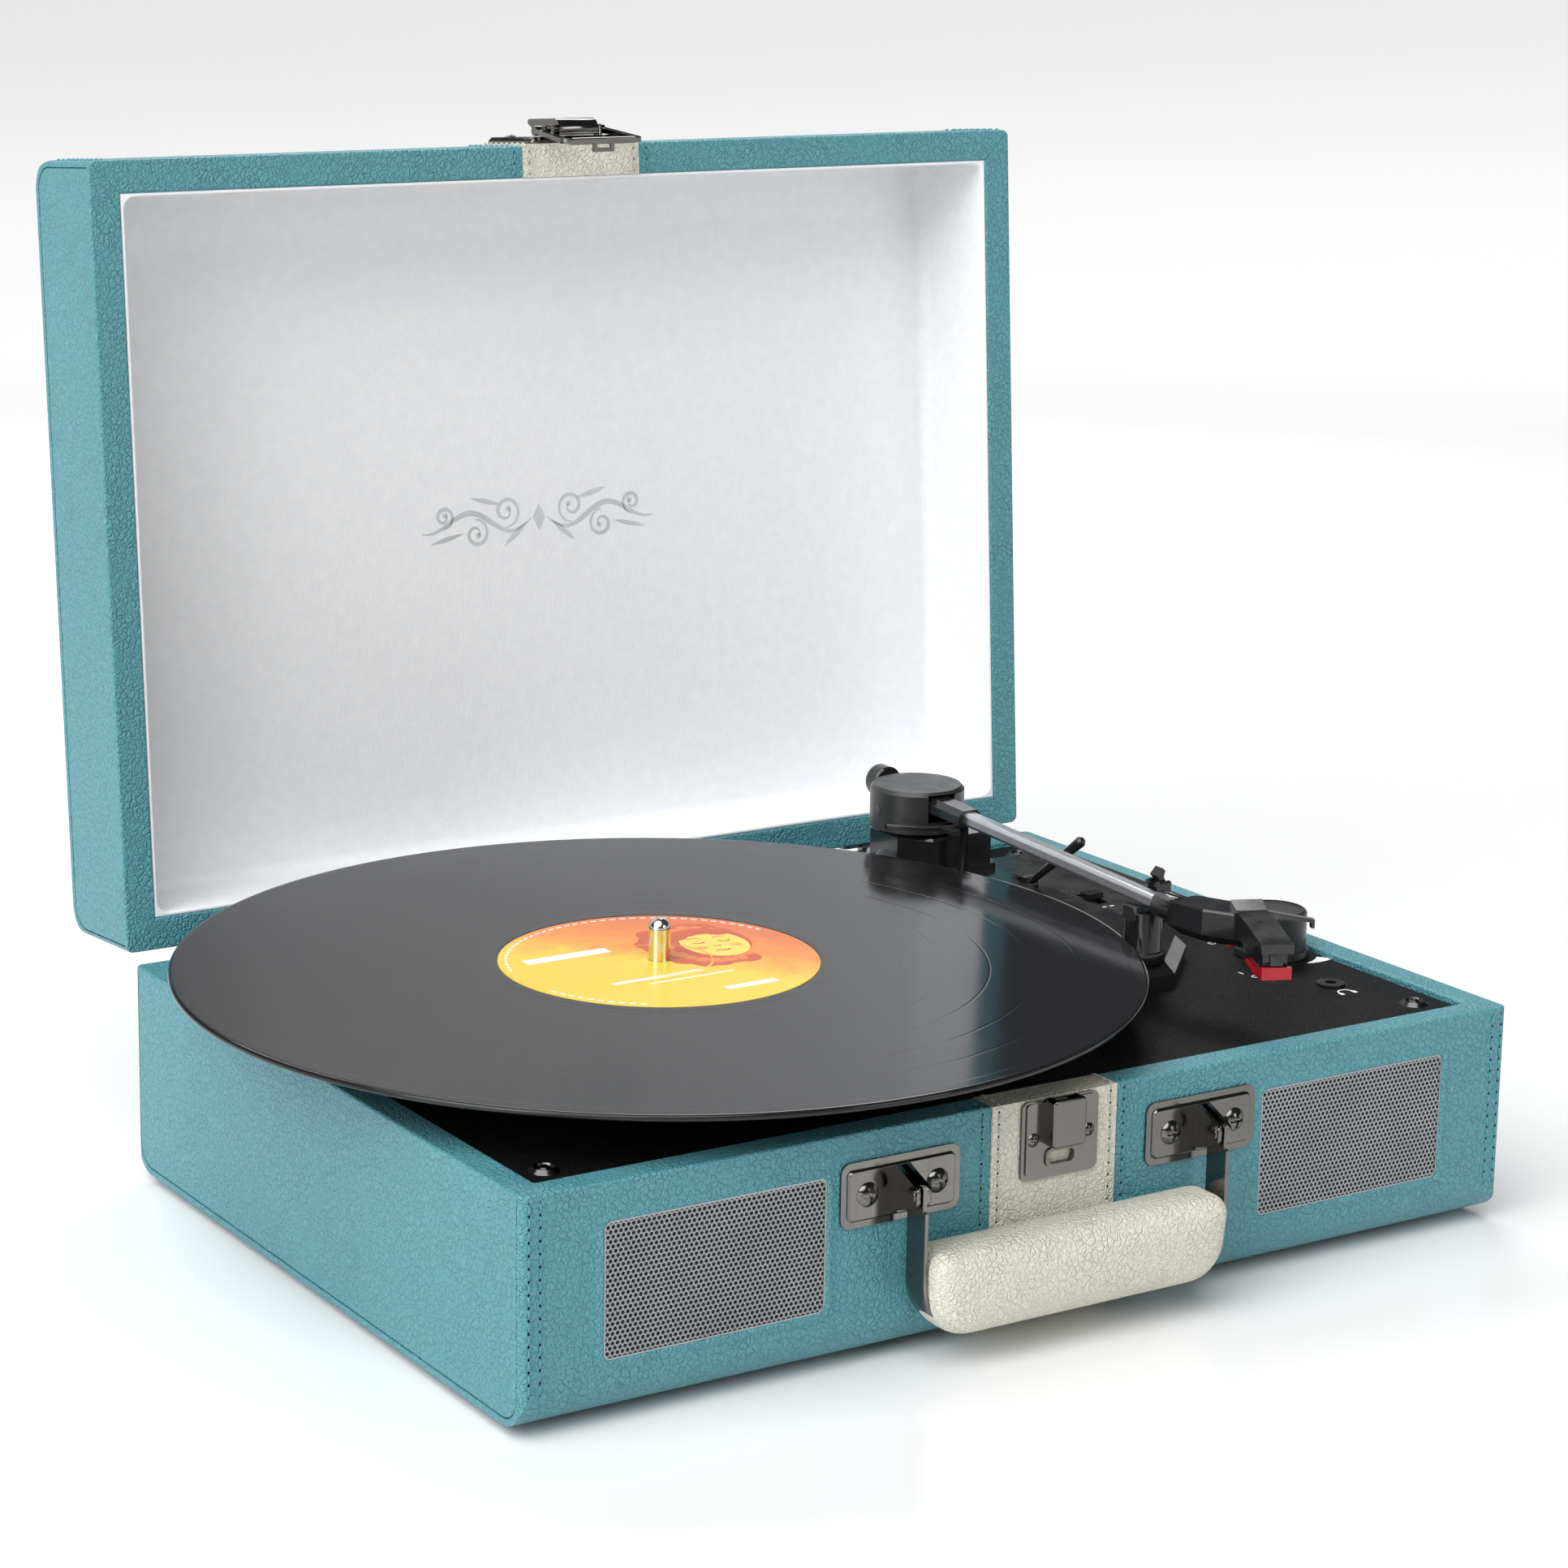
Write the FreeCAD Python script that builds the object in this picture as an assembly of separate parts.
"""Electric suitcase record player: a leatherette case with an open lid, a belt-driven platter and a tonearm.

Units are millimetres. The model is laid out about the case: x to the right, y to the back, z up from the table.
Lid parts are drawn closed, on top of the rim, and then turned open about the hinge pins.
"""
import FreeCAD, Part
import math
import os
from FreeCAD import Vector as V

# ---------------------------------------------------------------- driving dimensions
CASE_W = 355.0            # width of the case
CASE_D = 253.0            # depth of the case
FOOT_H = 3.0              # height of the rubber feet
BASE_H = 68.0             # underside of the case to its rim
LID_H = 43.3              # depth of the lid
CORNER_R = 10.0           # rounding of the long lower edges, and of the lid's long upper edges
POST_R = 2.5              # rounding of the upright corners
RIM = 9.5                 # width of the case's rim
LID_RIM = 10.5            # width of the lid's rim
SKIN = 1.0                # leatherette and glue
LINER_T = 1.2             # felt lining of the lid
LID_FLOOR = 6.3           # lining's face to the lid's outer face
BAND_W = 45.0             # cream bands at the front
BAND_T = 0.6
GAP = 0.3                 # clearance between parts that move past each other
RUN = 0.05                # radial clearance of running fits

HINGE_OUT = 3.9           # hinge pin behind the case's back face
HINGE_DROP = 1.8          # hinge pin below the rim
LID_OPEN = 94.1           # opening angle at the stop, degrees

PLATE_DROP = 2.0          # top plate below the rim
PLATE_T = 2.5

SPINDLE_X, SPINDLE_Y = -56.3, 2.4
SPINDLE_R = 3.6
SPINDLE_END_R = 3.4       # free end above the record, a little thinner so that a record drops on
SPINDLE_ABOVE = 13.5      # spindle's tip above the record
RECORD_TOP = 87.0         # record's upper face above the table
RECORD_R = 150.8
RECORD_T = 2.0
LABEL_R = 50.0
MAT_T = 2.0
PLATTER_R = 97.0
PLATTER_H = 11.0
BELT_RING_R = 62.0
PULLEY_R = 5.0
MOTOR_X, MOTOR_Y = SPINDLE_X + 48.0, SPINDLE_Y - 64.0
BELT_T = 1.0

PIVOT_X, PIVOT_Y = 100.9, 88.7
ARM_AZIMUTH = 1.9         # parked arm's angle from straight forward, towards the record
ARM_SLOPE = 1.55          # arm falls towards its head
ARM_Z = 101.6             # tube's centre line over the pivot
GIMBAL_Z = 98.5           # height of the lifting axis
HOUSING_R = 16.4
HOUSING_TOP = 106.2
HOUSING_H = 14.7
ARM_BASE_Z = 77.0         # top of the moulding under the arm
TURRET_Z = 90.2
SOCKET_END = 33.0         # socket's tip from the pivot
TUBE_W, TUBE_H = 5.4, 4.6
STYLUS_Z = 87.4           # needle's point, just over the record
REST_AT = 133.0           # rest post's distance from the pivot
HEAD_TILT = 24.0          # headshell's angle from straight forward

KNOB_X, KNOB_Y, KNOB_R, KNOB_H = 155.3, -38.4, 11.3, 15.6
JACK_X, JACK_Y = 148.5, -76.0
LED_X, LED_Y = 149.5, -24.5
SPEED_X, SPEED_Y = 138.0, 36.0
STOP_X, STOP_Y = 139.0, -57.0
CUE_X, CUE_Y, CUE_Z = 122.5, 52.0, 75.5
CUE_LEAN = 37.0           # lever's rest angle above level

GRILLE_W, GRILLE_H, GRILLE_X, GRILLE_Z = 73.0, 40.6, 115.0, 39.3
BRACKET_W, BRACKET_H, BRACKET_X, BRACKET_Z = 41.0, 19.5, 54.3, 52.8
CATCH_X, CATCH_W, CATCH_H = 1.2, 27.6, 24.0
HANDLE_PIN_OUT = 9.5      # handle's pins in front of the case

# ---------------------------------------------------------------- derived levels
RIM_Z = FOOT_H + BASE_H
PLATE_Z = RIM_Z - PLATE_DROP
HX, HY = CASE_W / 2, CASE_D / 2
FRONT, BACK = -HY, HY
HINGE_Y, HINGE_Z = HY + HINGE_OUT, RIM_Z - HINGE_DROP
MAT_Z = RECORD_TOP - RECORD_T - MAT_T
PLATTER_Z = MAT_Z - PLATTER_H
LID_Z = RIM_Z + LID_H

# the origin is under the middle of everything, lid and record included
ORIGIN_X = (SPINDLE_X - RECORD_R + HX) / 2
ORIGIN_Y = 22.6

X, Y, Z = V(1, 0, 0), V(0, 1, 0), V(0, 0, 1)
HINGE = V(0, HINGE_Y, HINGE_Z)
PIVOT = V(PIVOT_X, PIVOT_Y, 0)


# ---------------------------------------------------------------- shape helpers
def block(x0, x1, y0, y1, z0, z1):
    return Part.makeBox(x1 - x0, y1 - y0, z1 - z0, V(x0, y0, z0))


def rod(r, length, start, along=Z):
    return Part.makeCylinder(r, length, start, along)


def ring(outer, inner, length, start, along=Z):
    return rod(outer, length, start, along).cut(rod(inner, length + 2, start - along, along))


def join(shapes):
    first, rest = shapes[0], shapes[1:]
    return first.multiFuse(rest).removeSplitter() if rest else first


def group(shapes):
    return Part.makeCompound(shapes)


def outline(points):
    """Face inside a closed outline of corner points, each with its own rounding radius: (point, radius)."""
    edges, ends = [], []
    n = len(points)
    for i, (p, r) in enumerate(points):
        before, after = points[i - 1][0], points[(i + 1) % n][0]
        if r == 0:
            ends.append((p, p))
            continue
        a, b = (before - p).normalize(), (after - p).normalize()
        half = a.getAngle(b) / 2
        reach = r / math.tan(half)
        middle = p + (a + b).normalize() * (r / math.sin(half) - r)
        start, end = p + a * reach, p + b * reach
        edges.append((i, Part.Arc(start, middle, end).toShape()))
        ends.append((start, end))
    arcs = dict(edges)
    path = []
    for i in range(n):
        if i in arcs:
            path.append(arcs[i])
        start, end = ends[i][1], ends[(i + 1) % n][0]
        if start.distanceToPoint(end) > 1e-6:
            path.append(Part.LineSegment(start, end).toShape())
    return Part.Face(Part.Wire(Part.__sortEdges__(path)))


def upright(x0, x1, y0, y1, z0, z1, r):
    """Block with rounded upright corners."""
    corners = [(V(x, y, z0), r) for x, y in ((x0, y0), (x1, y0), (x1, y1), (x0, y1))]
    return outline(corners).extrude(Z * (z1 - z0))


def fronted(x0, x1, y0, y1, z0, z1, r):
    """Block whose corners are rounded as seen from the front."""
    corners = [(V(x, y0, z), r) for x, z in ((x0, z0), (x1, z0), (x1, z1), (x0, z1))]
    return outline(corners).extrude(Y * (y1 - y0))


def sided(x0, x1, y0, y1, z0, z1, r_low, r_high):
    """Block whose corners are rounded as seen from the side, with one radius low and one high."""
    places = (y0, z0, r_low), (y1, z0, r_low), (y1, z1, r_high), (y0, z1, r_high)
    corners = [(V(x0, y, z), r) for y, z, r in places]
    return outline(corners).extrude(X * (x1 - x0))


def extruded(points, z0, z1, r=0):
    """Prism on a plan of (x, y) points."""
    return outline([(V(x, y, z0), r) for x, y in points]).extrude(Z * (z1 - z0))


def softened(shape, r, wanted):
    """Shape with the edges that pass a test rounded."""
    return shape.makeFillet(r, [e for e in shape.Edges if wanted(e.BoundBox)])


def bevelled(shape, size, wanted):
    return shape.makeChamfer(size, [e for e in shape.Edges if wanted(e.BoundBox)])


def at_height(z):
    return lambda b: abs(b.ZMin - z) < 1e-4 and abs(b.ZMax - z) < 1e-4


def opened(shape):
    """A lid part, drawn closed, turned to the lid's open stop."""
    turned = shape.copy()
    turned.rotate(HINGE, X, -LID_OPEN)
    return turned


def hole_ring(shape, r, places, z0, z1):
    for x, y in places:
        shape = shape.cut(rod(r, z1 - z0, V(x, y, z0)))
    return shape


def pan_screw(tip, out, head_r, head_h, shank_r, shank_l):
    """Pan-head screw with a cross recess; tip is the point under its head, out is the way its head faces."""
    head = Part.makeSphere(head_r * 1.25, tip - out * (head_r * 1.25 - head_h))
    head = head.common(rod(head_r, head_h, tip, out))
    across = out.cross(Z if abs(out.z) < 0.9 else X)
    up = out.cross(across)
    blade = head_r * 0.62
    for a, b in ((across, up), (up, across)):
        corner = tip + out * (head_h * 0.45) - a * blade - b * (blade * 0.22)
        slot = Part.makePolygon([corner, corner + a * blade * 2, corner + a * blade * 2 + b * blade * 0.44,
                                 corner + b * blade * 0.44, corner])
        head = head.cut(Part.Face(slot).extrude(out * head_h))
    return join([head, rod(shank_r, shank_l + 0.2, tip - out * shank_l, out)])


# ---------------------------------------------------------------- case
def case_shape(z0, z1, r_low, r_high, inset=0.0):
    """Outer form of a case half, or that form drawn in by inset on every side but its open one."""
    a, b = (z0 + inset, z1) if r_low else (z0, z1 - inset)
    side = sided(-HX + inset, HX - inset, FRONT + inset, BACK - inset, a, b,
                 max(r_low - inset, 0), max(r_high - inset, 0))
    plan = upright(-HX + inset, HX - inset, FRONT + inset, BACK - inset, a, b, POST_R - inset / 2)
    return side.common(plan)


def inner_block(z0, z1, grow=0.0, r=0.0, rim=RIM):
    """Space inside the rim."""
    x, y = HX - rim + grow, HY - rim + grow
    if r:
        return upright(-x, x, -y, y, z0, z1, r)
    return block(-x, x, -y, y, z0, z1)


def panel_slabs(z0, z1, r_low, r_high, groove):
    """The two side panels' shape: a thin slab let into each side, inside a rounded outline."""
    depth = 0.9
    slabs = []
    for x0, x1 in ((-HX - 1, -HX + depth), (HX - depth, HX + 1)):
        slabs.append(sided(x0, x1, FRONT + 2.0 + groove, BACK - 2.0 - groove, z0, z1, r_low, r_high))
    return join(slabs[:1]), join(slabs[1:])


def front_openings(y0, y1, shrink):
    """Speaker openings through the front wall."""
    w, h = GRILLE_W / 2 - shrink, GRILLE_H / 2 - shrink
    return [fronted(s * GRILLE_X - w, s * GRILLE_X + w, y0, y1, GRILLE_Z - h, GRILLE_Z + h, 3.0)
            for s in (-1, 1)]


REAR_W, REAR_H, REAR_X, REAR_Z = 78.0, 22.0, 90.0, 34.0
REAR_SINK = 6.0           # depth of the recess that the socket panel lies in


def rear_block(shrink, y0, y1):
    """Outline of the socket panel's recess, drawn in by shrink."""
    w, h = REAR_W / 2 - shrink, REAR_H / 2 - shrink
    return block(REAR_X - w, REAR_X + w, y0, y1, REAR_Z - h, REAR_Z + h)


def make_base():
    outer = case_shape(FOOT_H, RIM_Z, CORNER_R, 0)
    core = case_shape(FOOT_H, RIM_Z - SKIN, CORNER_R, 0, SKIN)
    flap_z = PLATE_Z - 4.0
    flap = inner_block(flap_z, RIM_Z - SKIN, SKIN).cut(inner_block(flap_z - 1, RIM_Z, 0))
    cover = outer.cut(core).fuse(flap).cut(inner_block(RIM_Z - SKIN - 0.5, RIM_Z + 1))
    cover = softened(cover.removeSplitter(), 0.8, at_height(RIM_Z))
    band = make_band(RIM_Z, FOOT_H, 1)
    cover = cover.cut(band)
    left, right = panel_slabs(FOOT_H + 2.0, RIM_Z - 1.2, CORNER_R - 2.0, 0, 0)
    cover = cover.cut(left).cut(right)
    left, right = panel_slabs(FOOT_H + 2.4, RIM_Z - 1.2, CORNER_R - 2.4, 0, 0.4)
    panels = [softened(outer.common(s), 0.3, side_edges(x)) for s, x in ((left, -HX), (right, HX))]

    # 8.5 mm boards with glued blocks that the top plate is screwed to
    carcass = core.cut(inner_block(FOOT_H + 6.0, RIM_Z + 1, SKIN))
    corners = [(s * 158.0, t * 105.0) for s in (-1, 1) for t in (-1, 1)]
    blocks = [block(x - 10, x + 10, y - 11, y + 11, FOOT_H + 6.0, PLATE_Z - PLATE_T)
              .common(inner_block(0, 100, SKIN)) for x, y in corners]
    carcass = join([carcass] + blocks)
    carcass = hole_ring(carcass, 1.1, corners, PLATE_Z - 18, PLATE_Z)
    for hole in front_openings(FRONT - 1, FRONT + 12, 3.2):
        carcass = carcass.cut(hole)
    for hole in front_openings(FRONT - 1, FRONT + SKIN, 0):
        cover = cover.cut(hole)
    recess = rear_block(0, BACK - REAR_SINK, BACK + 1)
    carcass = carcass.cut(recess).cut(rear_block(3.0, BACK - 12, BACK))
    cover = cover.cut(recess)
    return cover, carcass, panels, band, corners


def side_edges(x):
    return lambda b: abs(b.XMin - x) < 1e-4 and abs(b.XMax - x) < 1e-4 and b.ZMax < RIM_Z - 1.5 or (
        abs(b.XMin - x) < 1e-4 and abs(b.XMax - x) < 1e-4 and b.ZMin > RIM_Z + 1.5)


def make_band(rim, outer_z, way, rim_width=RIM):
    """Cream band over the front: flush on the rim, just proud of the face, and turned in at both ends."""
    w = BAND_W / 2
    lo, hi = (outer_z, rim) if way > 0 else (rim, outer_z)
    grown = sided(-w, w, FRONT - BAND_T, BACK, lo - (BAND_T if way > 0 else 0), hi + (0 if way > 0 else BAND_T),
                  CORNER_R + BAND_T if way > 0 else 0, 0 if way > 0 else CORNER_R + BAND_T)
    plain = sided(-w, w, FRONT, BACK, lo, hi, CORNER_R if way > 0 else 0, 0 if way > 0 else CORNER_R)
    sheet = grown.cut(plain).common(block(-w, w, FRONT - 1, FRONT + CORNER_R + 12, lo - 1, hi + 1))
    inner = FRONT + rim_width
    over = block(-w, w, FRONT - BAND_T, inner, min(rim, rim - way * BAND_T), max(rim, rim - way * BAND_T))
    turn = block(-w, w, inner - BAND_T, inner, min(rim, rim - way * 5), max(rim, rim - way * 5))
    return join([sheet, over, turn])


def lid_block(z0, z1, grow=0.0, r=0.0):
    return inner_block(z0, z1, grow, r, LID_RIM)


def make_lid():
    outer = case_shape(RIM_Z, LID_Z, 0, CORNER_R)
    core = case_shape(RIM_Z + SKIN, LID_Z, 0, CORNER_R, SKIN)
    flap = lid_block(RIM_Z + SKIN, RIM_Z + 6.0, SKIN).cut(lid_block(RIM_Z, RIM_Z + 7, 0))
    cover = outer.cut(core).fuse(flap).cut(lid_block(RIM_Z - 1, RIM_Z + SKIN + 0.5))
    cover = softened(cover.removeSplitter(), 0.8, at_height(RIM_Z))
    band = make_band(RIM_Z, LID_Z, -1, LID_RIM)
    cover = cover.cut(band)
    left, right = panel_slabs(RIM_Z + 1.2, LID_Z - 2.0, 0, CORNER_R - 2.0, 0)
    cover = cover.cut(left).cut(right)
    left, right = panel_slabs(RIM_Z + 1.2, LID_Z - 2.4, 0, CORNER_R - 2.4, 0.4)
    panels = [softened(outer.common(s), 0.3, side_edges(x)) for s, x in ((left, -HX), (right, HX))]
    ceiling = LID_Z - LID_FLOOR + LINER_T
    carcass = core.cut(lid_block(RIM_Z - 1, ceiling, SKIN))
    hollow = lid_block(RIM_Z - 1, ceiling - LINER_T, -LINER_T, 4.0)
    hollow = softened(hollow, 4.0, at_height(ceiling - LINER_T))
    liner = lid_block(RIM_Z + 0.4, ceiling, 0).cut(hollow)
    lower = lid_block(RIM_Z + 6.0, ceiling, SKIN).cut(lid_block(RIM_Z, ceiling + 1, 0))
    liner = join([liner, lower])
    liner = softened(liner, 0.5, at_height(RIM_Z + 0.4))
    return [opened(s) for s in (cover, carcass, group(panels), band, liner)]


# ---------------------------------------------------------------- hinges
LEAF_W, LEAF_H, LEAF_T, KNUCKLE_R, PIN_R = 34.0, 17.0, 1.0, 2.4, 1.3
HINGE_PLACES = (-118.0, 118.0)


def hinge_side(x, base_side):
    """One leaf of a butt hinge, with its share of the five knuckles."""
    step = LEAF_W / 5
    turns = (0, 2, 4) if base_side else (1, 3)
    knuckles = []
    for i in turns:
        x0 = x - LEAF_W / 2 + i * step + GAP / 2
        barrel = rod(KNUCKLE_R, step - GAP, V(x0, HINGE_Y, HINGE_Z), X)
        if base_side:
            web = block(x0, x0 + step - GAP, BACK, HINGE_Y,
                        HINGE_Z - KNUCKLE_R - 2.0, HINGE_Z - KNUCKLE_R + LEAF_T)
        else:
            web = block(x0, x0 + step - GAP, BACK, HINGE_Y,
                        HINGE_Z + KNUCKLE_R - LEAF_T, HINGE_Z + KNUCKLE_R + 1.8)
        knuckles.append(barrel.fuse(web))
    z0, z1 = (HINGE_Z - KNUCKLE_R - LEAF_H, HINGE_Z - KNUCKLE_R) if base_side else (
        HINGE_Z + KNUCKLE_R, HINGE_Z + KNUCKLE_R + LEAF_H)
    leaf = fronted(x - LEAF_W / 2, x + LEAF_W / 2, BACK, BACK + LEAF_T, z0, z1, 2.0)
    bore = rod(PIN_R + (0 if base_side else RUN), LEAF_W + 2, V(x - LEAF_W / 2 - 1, HINGE_Y, HINGE_Z), X)
    side = join([leaf] + knuckles).cut(bore)
    middle = (z0 + z1) / 2
    heads = [pan_screw(V(x + dx, BACK + LEAF_T, middle + dz), Y, 2.2, 1.2, 1.0, 6.0)
             for dx, dz in ((-11, 2), (0, -3), (11, 2))]
    return join([side] + heads)


def make_hinges():
    base = [hinge_side(x, True) for x in HINGE_PLACES]
    lid = [opened(hinge_side(x, False)) for x in HINGE_PLACES]
    pins = [rod(PIN_R, LEAF_W, V(x - LEAF_W / 2, HINGE_Y, HINGE_Z), X) for x in HINGE_PLACES]
    return group([b.fuse(p) for b, p in zip(base, pins)]), group(lid)


# ---------------------------------------------------------------- front hardware
def stepped_plate(x, z, w, h, y, r=3.2):
    """Pressed plate with a raised middle and a bevelled edge; y is the face that it lies on."""
    foot = fronted(x - w / 2, x + w / 2, y - 0.9, y, z - h / 2, z + h / 2, r)
    raised = fronted(x - w / 2 + 2, x + w / 2 - 2, y - 1.8, y - 0.9, z - h / 2 + 2, z + h / 2 - 2, r - 1.2)
    raised = bevelled(raised, 0.6, lambda b: abs(b.YMin - (y - 1.8)) < 1e-4 and abs(b.YMax - (y - 1.8)) < 1e-4)
    return join([foot, raised])


PIN_Z = BRACKET_Z + 0.4
STRAP_W, STRAP_T, STRAP_BEND, STRAP_LOW = 9.0, 1.3, 14.0, 11.7


def make_brackets():
    """Handle brackets: a plate, and a forked ear folded out of it that carries the handle's pin."""
    plates, pins, screws = [], [], []
    pin_y = FRONT - HANDLE_PIN_OUT
    for s in (-1, 1):
        x = s * BRACKET_X
        plate = stepped_plate(x, BRACKET_Z, BRACKET_W, BRACKET_H, FRONT)
        for e in (x - 2.4, x + 1.0):
            ear = outline([(V(e, FRONT - 1.0, BRACKET_Z + 7.4), 0), (V(e, FRONT - 1.0, BRACKET_Z - 6.8), 0),
                           (V(e, pin_y - 2.6, PIN_Z - 3.4), 2.6), (V(e, pin_y - 2.8, PIN_Z + 2.4), 2.2)])
            plate = plate.fuse(ear.extrude(X * 1.4))
        hole = rod(1.5, 20, V(x - 10, pin_y, PIN_Z), X)
        plates.append(plate.removeSplitter().cut(hole))
        shaft = rod(1.5, 6.4, V(x - 3.2, pin_y, PIN_Z), X)
        heads = [rod(2.4, 0.8, V(x + d, pin_y, PIN_Z), X) for d in (-3.2, 2.4)]
        pins.append(join([shaft] + heads))
        screws += [pan_screw(V(x + d, FRONT - 1.8, BRACKET_Z), -Y, 3.7, 2.0, 1.6, 9.0) for d in (-12.0, 12.0)]
    return plates, pins, screws


def make_handle():
    """Flat steel strap, bent into a U that hangs from the pins, and a padded grip round its lower run."""
    pin_y = FRONT - HANDLE_PIN_OUT
    x, t, r, top = BRACKET_X, STRAP_T / 2, STRAP_BEND, PIN_Z + 3.0
    run = [(V(-x - t, pin_y, top), 0), (V(-x - t, pin_y, STRAP_LOW), r + STRAP_T),
           (V(x + t, pin_y, STRAP_LOW), r + STRAP_T), (V(x + t, pin_y, top), 0), (V(x - t, pin_y, top), 0),
           (V(x - t, pin_y, STRAP_LOW + STRAP_T), r), (V(-x + t, pin_y, STRAP_LOW + STRAP_T), r),
           (V(-x + t, pin_y, top), 0)]
    face = outline(run)
    face.translate(V(0, -STRAP_W / 2, 0))
    strap = face.extrude(Y * STRAP_W)
    necked = block(-x - 5, x + 5, pin_y - 3.4, pin_y + 3.4, PIN_Z - 4.5, top + 1)
    wide = block(-x - 5, x + 5, pin_y - 9, pin_y + 9, 0, PIN_Z - 4.5)
    strap = strap.common(necked.fuse(wide).removeSplitter())
    strap = strap.cut(rod(1.5 + RUN, 2 * x + 20, V(-x - 10, pin_y, PIN_Z), X))
    # grip: a soft oval bar with its lower ends rounded like the strap's bends
    x1, z0, z1 = 50.2, 11.0, 36.4
    y0, y1 = FRONT - 19.8, FRONT - 0.8
    ends = outline([(V(-x1, y0, z0), 13.0), (V(x1, y0, z0), 13.0), (V(x1, y0, z1), 5.5), (V(-x1, y0, z1), 5.5)])
    grip = ends.extrude(Y * (y1 - y0)).common(sided(-x1 - 1, x1 + 1, y0, y1, z0, z1, 8.6, 8.6))
    grip = grip.cut(strap)
    return strap, max(grip.Solids, key=lambda s: s.Volume)


def make_catch():
    """Catch plate with the raised box that the lid's loop hooks on."""
    y = FRONT - BAND_T
    z1 = RIM_Z - 0.4
    z0 = z1 - CATCH_H
    x = CATCH_X
    plate = fronted(x - CATCH_W / 2, x + CATCH_W / 2, y - 1.0, y, z0, z1, 2.2)
    rim = fronted(x - CATCH_W / 2 + 1.4, x + CATCH_W / 2 - 1.4, y - 1.5, y - 1.0, z0 + 1.4, z1 - 0.6, 1.4)
    box = fronted(x - 6.0, x + 6.0, y - 6.0, y - 1.5, z1 - 14.0, z1 + 0.8, 1.6)
    box = softened(box, 1.0, lambda b: abs(b.YMin - (y - 6.0)) < 1e-4 and abs(b.YMax - (y - 6.0)) < 1e-4)
    box = box.cut(block(x - 4.4, x + 4.4, y - 4.8, y - 1.5, z1 - 9.0, z1 + 2))
    window = fronted(x - 4.6, x + 4.6, y - 3, y + 1, z0 + 4.2, z0 + 8.2, 1.6)
    lip = fronted(x - 5.6, x + 5.6, y - 2.1, y - 1.5, z0 + 3.2, z0 + 9.2, 2.2).cut(window)
    screws = [pan_screw(V(x + d, y - 1.5, z1 - 11.5), -Y, 2.1, 1.1, 1.0, 7.0) for d in (-10.0, 10.0)]
    return join([plate, rim, box, lip]).cut(window), screws


LATCH_PIN_Z = RIM_Z + 4.5     # lever's pin, in the plate's ears
LOOP_PIN_Z = RIM_Z + 8.0      # loop's pin, in the lever
LATCH_OUT = 4.2               # both pins' distance from the lid's face
LEVER_W, LEVER_TOP, LEVER_END_R = 15.0, 8.1, 3.9
LOOP_LEN = 23.2
LOOP_DROOP = 9.0              # how far the loop hangs in over the rim, degrees
EAR_R = 1.8                   # plate's ears about the lever's pin, clear of the loop's axle as it passes


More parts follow.
